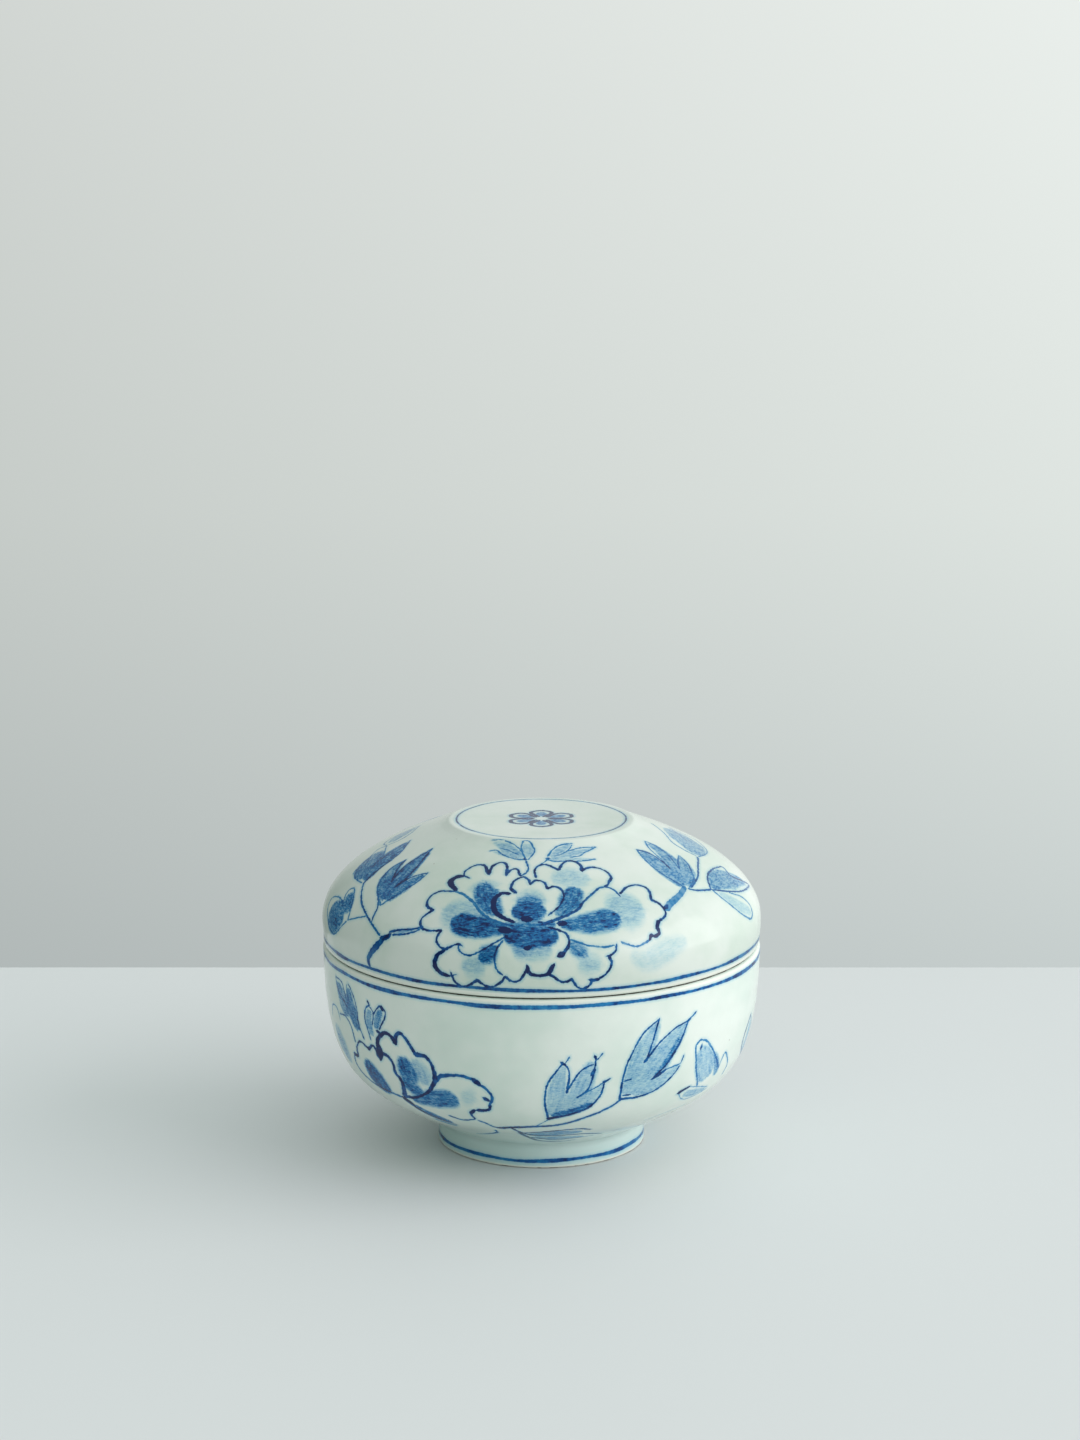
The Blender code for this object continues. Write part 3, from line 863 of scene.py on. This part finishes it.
peony_lines = [
    # Top left petal, from notch to notch
    ((1.3, 1.9, 1.2), BLACK, (-29, 33), (-33, 35.8), (-32.2, 38.3), (-29.8, 39.2)),
    ((0.6, 0.5, 0.4), DARK, (-32, 38.6), (-29.5, 39.3), (-26.7, 38.6)),
    ((0.6, 0.6, 1.3), DARK, (-29.7, 39.2), (-30.6, 41.5), (-28.7, 44.4), (-24.5, 45.1), (-20.5, 41.4)),
    ((1.1, 0.6, 1.1), DARK, (-20.5, 41.4), (-20.7, 45.3), (-17.7, 47.4), (-14.7, 46), (-13.5, 41.6)),
    ((0.9, 0.5, 0.9), DARK, (-13.5, 41.8), (-12.5, 44), (-10, 44.6), (-8, 41.5)),
    ((0.6, 0.5, 0.4), BLUE, (-8, 41.5), (-6, 43), (-5.5, 45.5), (-7.3, 49.3)),
    # Big left petal
    ((0.6, 0.5, 1.0), DARK, (-29, 32.5), (-34, 31.6), (-36.2, 29), (-35.5, 25.8), (-32.5, 24.4)),
    ((1.0, 0.5, 1.0), DARK, (-32.5, 24.4), (-34.6, 21.5), (-34.4, 19.4), (-33, 18)),
    ((0.9, 0.5, 0.8), DARK, (-33.4, 18), (-30.5, 17.8), (-27.5, 18.3)),
    ((0.8, 0.5, 0.8), DARK, (-27.5, 18.3), (-28.1, 15.5), (-26.7, 13.6), (-25, 13)),
    ((0.9, 0.5, 0.6), DARK, (-25, 13), (-23.5, 14.1), (-21.7, 15), (-20.5, 14.5)),
    ((0.5, 0.5, 0.6), BLUE, (-21.5, 14.5), (-21, 13), (-18.5, 12), (-15.5, 13.5), (-13, 15.5), (-9, 18.5)),
    ((0.8, 0.9, 0.8), PALE, (-29, 32.5), (-25, 31.5), (-21, 29), (-18, 26), (-14, 23.5), (-7.5, 21.5)),
    # The cup in the middle
    ((1.1, 1.6, 1.4, 0.9), BLACK, (-10.5, 33.6), (-13, 33.5), (-14.8, 31), (-14.2, 27.5), (-12, 25),
     (-7.5, 23)),
    ((1.1, 0.6, 0.9), DARK, (-8.5, 34), (-10.4, 36), (-9.8, 39.2), (-7, 41), (-4.8, 39.8), (-4, 38)),
    ((0.9, 0.5, 0.9), DARK, (-4, 38), (-2, 39.6), (1, 38.7), (2, 36)),
    ((0.9, 0.5, 0.5), DARK, (2, 36), (4.2, 36.8), (6.3, 36), (7.3, 33), (5.5, 29), (2, 25.5)),
    # Lower left petal
    ((0.9, 1.4, 0.9), BLACK, (-25, 12.7), (-27, 11), (-27.4, 8), (-25.6, 6), (-23.5, 5.4)),
    ((0.7, 0.5, 0.3), BLUE, (-23.5, 5.4), (-21.3, 6.2)),
    ((0.8, 0.5, 0.9), DARK, (-23, 6.4), (-22, 4), (-20, 2.7), (-18, 3.5), (-16, 5.1)),
    ((0.9, 0.5, 0.8), DARK, (-16, 5.1), (-14, 3.5), (-12, 3.4), (-10, 4.9), (-9, 6.6)),
    ((0.6, 0.5, 0.5), BLUE, (-9.5, 7), (-11, 8.5), (-11.7, 11), (-11.5, 14), (-10, 17)),
    # The small petal at the bottom
    ((0.8, 0.5, 0.7), DARK, (-9, 6.6), (-7.5, 5.4), (-5.7, 5.4), (-4.5, 7), (-3.5, 9.6)),
    ((1.3, 0.8, 1.0), BLACK, (-3.5, 9.6), (-3, 7.9), (-1.5, 7.2), (0.5, 7.2), (2, 8)),
    ((1.2, 1.3, 0.9), BLACK, (1.8, 7.8), (2.4, 9), (3.1, 10.2)),
    # Top right petal
    ((0.6, 0.5, 1.0), DARK, (-2, 41), (-2.7, 43.5), (-2, 45.7), (0.5, 47), (3.5, 46.5), (7, 44.4)),
    ((1.0, 0.6, 1.2), DARK, (7, 44.4), (9, 47), (11.7, 48.5), (15, 48), (16.8, 46), (16.5, 43.4)),
    ((1.0, 0.5, 0.9), DARK, (16.8, 43.8), (21, 44.7), (24.3, 43.5), (26.4, 41.3), (26.3, 39), (25, 37.8)),
    ((0.9, 0.5, 0.8), DARK, (25, 37.8), (23.3, 36.2), (22, 35.5)),
    ((0.6, 0.8, 1.1), BLUE, (22, 35.5), (19.5, 35), (16.5, 33), (13, 30), (11, 27.5), (6.5, 25),
     (0.5, 22.5)),
    # Right petal
    ((0.7, 0.5, 0.5), BLUE, (22, 35.5), (24, 34.5), (25, 32.7), (25.5, 30.8)),
    ((0.7, 0.5, 1.0), DARK, (26, 32), (29, 34), (33, 34.6), (35.8, 33.3), (36.4, 31), (35, 27.9)),
    ((1.0, 0.5, 0.8), DARK, (35, 27.9), (36.7, 26.3), (37.3, 24), (36.4, 21.7), (33.5, 20.4)),
    ((1.3, 1.0, 0.8), BLACK, (33.5, 20.4), (32.3, 18.8), (32.3, 16.9), (31, 16), (29.7, 16.5), (29, 15.3)),
    ((0.6, 0.5, 0.6), PALE, (28.7, 15.1), (26.5, 14.2), (24.5, 13.9), (22.5, 14.8), (21, 15.6)),
    # Lower right petal
    ((0.7, 0.6, 1.1), DARK, (2, 21.5), (4.5, 20.5), (6.5, 19.3), (7.2, 17.3), (6.8, 15.2), (5, 12.9)),
    ((0.6, 0.5, 0.5), PALE, (7.5, 17.5), (9.5, 16.5), (11.5, 15.6), (14, 15), (16.5, 14.6), (19, 15)),
    ((0.7, 0.5, 0.7), DARK, (19.5, 15), (19, 13.3), (17.7, 12.2), (16.5, 12)),
    ((0.9, 0.6, 0.9), DARK, (17, 12), (17.7, 10), (16.8, 7.7), (15, 6), (13.5, 5.3), (12, 5.5)),
    ((0.8, 0.5, 0.8), DARK, (12.5, 5.2), (12, 3.9), (10.4, 2.9), (8.8, 3.6), (7.5, 6)),
    ((0.8, 0.5, 0.8), DARK, (7.5, 6), (6.5, 5.3), (5, 5.2), (3.5, 6.3), (2, 7.6)),
    # Deep touches at the heart of the flower
    ((1.6, 2.3, 1.5), DARK, (-5.3, 24.3), (-2.9, 24.1)),
    ((1.6, 2.4, 1.5), DARK, (-11.2, 20.3), (-8.2, 20.1)),
    ((1.4, 2.0, 1.4), DARK, (4.7, 22.7), (6.6, 22.6)),
    ((0.7, 0.9, 0.7), DARK, (-0.8, 23.2), (0, 23.2)),
    ((1.1, 1.5, 1.1), DARK, (-4.1, 14.9), (-3, 15.1)),
    ((1.5, 1.9, 1.4), BLACK, (4.4, 12.8), (5.6, 13.4)),
]
peony_washes = [
    (2.2, (4, 7.5, 5), 0.72, (-12.5, 25), (-16.3, 29.5), (-19, 33.5), (-20.5, 37.6)),
    (1.6, (2.5, 4, 2), 0.62, (-11.5, 25), (-14.5, 30), (-15.4, 35.5)),
    (1.8, (2.5, 7.5, 8), 0.88, (-8.5, 20.5), (-15, 20.6), (-21, 21.2), (-25.5, 22)),
    (1.6, (2, 3, 2), 0.74, (-10, 22.4), (-4, 22), (4, 22.5)),
    (2.4, (7, 8.5, 7), 0.82, (-8.8, 27), (-3.5, 27), (1.4, 27)),
    (2.6, (4, 6, 4), 0.62, (-7.6, 30), (-3.4, 31), (0.4, 30)),
    (4.5, (8, 9, 8), 0.26, (-8.5, 31), (1.5, 31)),
    (1.8, (6, 8, 6), 0.85, (-10, 19), (-3, 18.4), (4.5, 19)),
    (3.4, (5, 6, 5), 0.36, (-7.5, 14.6), (2.6, 14.6)),
    (1.8, (3, 6, 4.5), 0.74, (-11.4, 15.4), (-13.4, 12.8), (-15.6, 10.6)),
    (5.0, (5, 6, 5), 0.3, (-14, 9.5), (-20, 8.5)),
    (2.2, (3, 7, 6), 0.7, (4.3, 25.3), (8, 29), (10.3, 33.5), (11, 36.5)),
    (5.0, (7, 9, 7), 0.22, (3.5, 40), (11, 40.5), (18, 39)),
    (1.8, (2.5, 7.5, 8), 0.72, (4.8, 22.3), (11, 22.3), (17, 22.8), (22.5, 24)),
    (5.5, (12, 14, 12), 0.26, (19, 25.5), (25, 26), (31, 25)),
    (1.8, (3, 5, 3.5), 0.56, (7, 17), (9, 14.8), (11.6, 12.5)),
    (5.0, (5, 6, 5), 0.24, (9, 11), (15, 9.5)),
    (5.0, (7, 9, 7), 0.28, (-18.5, 33), (-21.5, 38.5)),
    (5.0, (9, 11, 10), 0.26, (-16, 25), (-23, 24.5), (-29.5, 25.5)),
]
branch_lines = [
    # The left branch, and the upright leaf on it
    ((1.3, 1.5, 1.0), DARK, (-42.6, 14.3), (-43.6, 13.2), (-45.5, 12.7)),
    ((0.8, 0.6, 0.6), BLUE, (-43, 15), (-40, 16.3), (-37, 17), (-33.8, 18.2)),
    ((1.4, 2.2, 1.7, 0.9), BLUE, (-44, 13.5), (-45.7, 11), (-48, 8), (-49.6, 5.2), (-49.2, 3.2)),
    ((0.5, 0.5, 0.4), BLUE, (-41.8, 14.4), (-38.5, 15.2), (-35.8, 16.3), (-33.8, 17.6)),
    ((0.7, 0.6, 0.7), BLUE, (-46, 13.3), (-48.5, 14.7), (-51, 16)),
    ((0.6, 0.6, 0.6), BLUE, (-51, 16), (-51.5, 18.5), (-52, 21), (-53.5, 23)),
    ((0.4, 0.6, 0.4), BLUE, (-55, 23.8), (-53.5, 23)),
    ((0.5, 0.5, 0.8), PALE, (-62.5, 39.7), (-63.6, 34.5), (-61.5, 30), (-58.5, 26.5), (-51.5, 22)),
    ((0.7, 0.6, 1.0), BLUE, (-62.4, 39.5), (-60.5, 36), (-58.3, 33.5), (-55.7, 30.6)),
    ((0.5, 0.5, 0.6), BLUE, (-58.5, 47.7), (-58.3, 44), (-58.6, 39.5), (-57.7, 35), (-55.6, 30.6)),
    ((0.7, 0.6, 1.1), BLUE, (-58.4, 47.5), (-55.8, 44), (-53.3, 40), (-51.8, 36), (-51.5, 32), (-52, 29.3)),
    ((0.5, 0.5, 0.7), BLUE, (-45, 37.6), (-48.5, 35.5), (-50.7, 32.7), (-51.8, 29.3)),
    ((0.5, 0.5, 0.8), PALE, (-45, 37.5), (-45.3, 33.5), (-47.5, 28.5), (-51.2, 22.3)),
    # The right branch, and the leaf that stands on it
    ((2.2, 1.9, 1.6), 0.6, (38, 23.9), (41, 25.5), (46.5, 27.5), (50.5, 29.3)),
    ((1.2, 1.4, 0.8), DARK, (37.8, 24.2), (39.2, 25)),
    ((0.5, 0.5, 0.6), PALE, (62.5, 51), (64, 47.3), (62.4, 43), (59.5, 39.5), (57.5, 36.3)),
    ((0.5, 0.5, 0.4), PALE, (62.3, 51), (58.5, 48.6), (56.5, 45.5), (55, 41.5), (53.5, 37.5)),
    ((0.9, 0.6, 0.5), BLUE, (50.3, 48.8), (53.2, 47), (54.3, 44.5), (54.3, 41), (53.5, 37.5)),
    ((0.6, 0.5, 0.6), PALE, (50, 48.7), (48, 45.5), (47, 41), (47.5, 36.5), (49, 33), (50.5, 29.5)),
    ((0.6, 0.5, 0.4), PALE, (57.5, 36.3), (61, 38.7), (66.9, 40.6)),
    ((0.5, 0.5, 0.6), PALE, (67, 40.5), (65, 37), (61.5, 34), (58, 31), (51.5, 28.5)),
    # Two small pale leaves over the flower
    ((0.5, 0.4, 0.5), PALE, (-30, 57.4), (-24.5, 58), (-17.5, 57), (-12.5, 55), (-9.5, 52.5), (-7.5, 49.8)),
    ((0.4, 0.4, 0.6), PALE, (-27, 52.3), (-23.5, 53), (-20, 51.5), (-15, 50), (-10.5, 49.3), (-7.5, 49.5)),
    ((0.3, 0.4, 0.4), PALE, (-22.5, 54.3), (-17.5, 53.5), (-11.5, 51.8)),
    ((0.4, 0.4, 0.4), PALE, (-9.3, 52.8), (-11.2, 55.5), (-11, 58), (-8, 58.4), (-5.5, 57), (-3.5, 53.5),
     (-6.2, 49.3)),
    ((1.0, 1.3, 0.8), DARK, (-8, 49.6), (-7, 49.4)),
    ((0.5, 0.4, 0.4), PALE, (-1, 46.7), (1, 48), (3.5, 50)),
    ((0.6, 0.4, 0.4), PALE, (3, 51), (5.5, 54), (10.5, 56.4), (18, 56.8)),
    ((0.4, 0.4, 0.4), PALE, (17.8, 56.6), (14.5, 54), (10, 52), (6.5, 51.2)),
    ((0.4, 0.4, 0.4), PALE, (14, 53.4), (21.5, 54.5), (30, 54)),
    ((0.4, 0.4, 0.4), PALE, (29.7, 53.9), (22, 52), (18.5, 50.6), (13.5, 50.3)),
    ((0.6, 0.4, 0.5), PALE, (2, 50), (5.5, 48.6), (10.5, 48.4), (18, 48), (25, 48.3)),
    ((0.9, 1.1, 0.6), BLUE, (2.6, 50.2), (4, 50)),
]
branch_washes = [
    (0.7, (5, 8, 3), 0.68, (-52.2, 23.5), (-53.7, 30), (-55, 37), (-57.6, 46)),
    (0.7, (4, 6.5, 2.5), 0.64, (-54, 25), (-58, 29.5), (-61, 34), (-62.4, 38.5)),
    (0.7, (4, 5, 2), 0.66, (-51, 24), (-48.7, 30), (-45.9, 36.5)),
    (0.7, (1.2, 1.8, 1.4), 0.42, (-42, 15), (-38, 16.4), (-34.3, 17.6)),
    (0.7, (4, 6.5, 3), 0.5, (50.7, 29.5), (50, 36), (50.7, 42), (50.9, 47.8)),
    (0.7, (4, 7, 2.4), 0.5, (52, 29.5), (56, 36), (60.3, 43), (62.3, 50)),
    (0.7, (3, 6, 2), 0.52, (52.5, 29.6), (59.5, 34.5), (66.3, 39.9)),
    (0.7, (3, 4.5, 1.5), 0.32, (-8.5, 50.3), (-15, 53), (-22, 55.5), (-29, 57.2)),
    (0.7, (1.5, 2.2, 1), 0.32, (-9, 50), (-16, 51), (-25, 52.4)),
    (0.7, (2.5, 5, 3), 0.28, (-6.7, 50.5), (-7, 54), (-9, 57.2)),
    (0.7, (1.5, 3, 1.2), 0.32, (4, 50.8), (10, 54), (17, 56.3)),
    (0.7, (1.5, 3, 1.2), 0.32, (5, 50.2), (15, 52), (28.5, 53.6)),
    (0.7, (1.5, 2, 1), 0.28, (3.3, 49.8), (12, 49.3), (24, 48.4)),
    (3.0, (3, 7, 7, 3), 0.13, (23, 12), (27, 9.5), (33, 11.5), (40, 13.5)),
]
side_lines = [
    # The drooping leaves between the front and back flowers
    ((0.6, 0.6, 0.6), BLUE, (-51, 16), (-55, 18), (-60, 20.5), (-64, 23.3), (-67.5, 26)),
    ((0.5, 0.5, 0.9), BLUE, (-80.5, 45.5), (-75, 43), (-71, 40), (-69.5, 36), (-68.5, 31), (-67.5, 26)),
    ((0.4, 0.4, 0.5), PALE, (-80.5, 45.5), (-78.7, 41.5), (-76.7, 37), (-75.3, 33)),
    ((0.4, 0.4, 0.5), PALE, (-88.5, 38), (-90, 35), (-84.5, 31.5), (-82, 28), (-76.5, 25.5), (-68.5, 25.7)),
    ((0.4, 0.5, 0.5), PALE, (-88.2, 38), (-79.7, 36.5), (-75.3, 33), (-72.5, 30)),
    ((0.4, 0.5, 0.5), PALE, (-89, 38), (-95.5, 36.7), (-101, 40.5), (-103.5, 47.5)),
    ((0.4, 0.5, 0.5), PALE, (-89, 38.2), (-88.5, 42.5), (-93, 46), (-103.5, 47.5)),
    ((0.5, 0.5, 0.5), PALE, (-68.5, 17.5), (-74, 18), (-79, 16), (-78, 12.5), (-73, 9.2), (-67.5, 8),
     (-62, 13.5)),
    ((0.5, 0.4, 0.5), PALE, (-68.5, 16.5), (-71.5, 21), (-69.5, 23), (-65.5, 20.5), (-62.5, 16.5),
     (-61.5, 14)),
    ((0.5, 0.4, 0.4), PALE, (-54.5, 17.2), (-58.5, 15.5), (-61.5, 14)),
    ((0.4, 0.4, 0.5), PALE, (98, 52), (88, 49), (78, 45.5), (75.5, 41), (76, 36.8)),
    ((0.4, 0.4, 0.5), PALE, (76.3, 36.2), (88.5, 34.2), (100, 36.7), (103, 41), (105, 45)),
    ((0.4, 0.4, 0.4), PALE, (105, 45), (98, 43.8), (90, 41)),
    ((0.6, 0.5, 0.5), BLUE, (75.5, 36.3), (67.5, 34), (60.5, 31), (53, 28.6)),
    ((0.7, 0.6, 0.7), BLUE, (51.5, 28.6), (54.5, 27), (60.5, 25.5)),
    ((0.6, 0.5, 0.6), BLUE, (60.5, 25.5), (63.5, 28.6), (68, 30.4), (74, 30.6)),
    ((0.5, 0.6, 0.8), BLUE, (74, 30.6), (81, 28.6), (79, 25), (83, 21.5), (87, 18.5)),
    ((0.6, 0.5, 0.6), BLUE, (60.5, 25.5), (68, 22.3), (76, 19.7), (87, 18)),
    ((0.6, 0.5, 0.6), PALE, (60.7, 25.2), (62.5, 20), (66, 15), (70.5, 11.8), (73.5, 12.6)),
    ((0.5, 0.5, 0.5), PALE, (73.5, 12.6), (74.5, 15), (72.5, 18.5), (67.5, 22)),
]
side_washes = [
    (0.8, (4, 9, 3), 0.68, (-68, 27), (-72, 32), (-75, 38), (-79.5, 44.5)),
    (0.8, (5, 12, 6), 0.62, (-70, 27.5), (-78, 31), (-86, 35.5)),
    (0.8, (6, 11, 8), 0.64, (-64, 13), (-70, 12.8), (-75.5, 14)),
    (0.8, (2.5, 3.5, 2.5), 0.78, (-72.5, 11), (-66.5, 11.8)),
    (0.8, (3, 5.6, 4), 0.62, (-63, 16), (-66.7, 18.8), (-69.6, 21)),
    (0.8, (4, 7, 2.5), 0.42, (-90.5, 39.5), (-95.5, 41.5), (-101.5, 46.5)),
    (0.8, (6, 13, 8), 0.44, (76.8, 37.5), (86, 40), (94, 43.5), (100, 47)),
    (0.8, (4, 9, 3), 0.5, (61.5, 26), (69, 26.5), (77, 24.5), (84.5, 20.5)),
    (0.8, (3, 5, 3), 0.2, (62.5, 23.5), (67, 17.5), (73, 13.4)),
    (0.8, (2, 3, 1.5), 0.5, (62, 26.5), (67, 28.8), (73, 30)),
]
front_lines = peony_lines + branch_lines
front_washes = peony_washes + branch_washes
lid_brush.paint(front_lines + side_lines, front_washes + side_washes, 0)
lid_brush.paint(front_lines, front_washes, 180)

# The plain six-petalled flower in the middle of the top
PETALS = 6
PETAL_HALF = 25  # degrees, where a petal is widest
middle_run = float(lid_brush.run[-1])
for petal in range(PETALS):
    turn = petal * 360 / PETALS
    for side in (-1, 1):
        lid_brush.line(
            (1.2, 1.1, 1.2),
            BLACK,
            (turn + side * PETAL_HALF * 0.7, middle_run - 2.6),
            (turn + side * PETAL_HALF, middle_run - 6.2),
            (turn + side * PETAL_HALF * 0.75, middle_run - 9.0),
            (turn, middle_run - 10.4),
        )
    lid_brush.wash_over(
        1.0, (1.5, 3.6, 2.5), 0.62, (turn, middle_run - 3), (turn, middle_run - 8.6)
    )
lid_layers = lid_brush.finish()

DISC_LINE_RADIUS = 25.56  # millimetres
disc_line = float(np.interp(-DISC_LINE_RADIUS, -lid_brush.radius[-40:], lid_brush.run[-40:]))
flange_end = float(lid_brush.run[lid_brush.height.argmin()])
lid.data.materials.append(
    painted_glaze(
        "lid glaze",
        lid_layers,
        thin=(0.615, 0.675, 0.625),
        deep=(0.52, 0.61, 0.54),
        bands=[(2.5, 0.52, 0.92), (disc_line, 0.25, 1.2)],
        edges=[1.0],
        # The seat near its outer edge is nearly black brown: burnt clay with painted shade of the seam
        bare=[(flange_end + 1.0, -2.2, CLAY), (-2.6, -0.5, BURNT_CLAY_AND_SHADE)],
    )
)
settle(lid)
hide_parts("lid")
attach(lid, "lid")
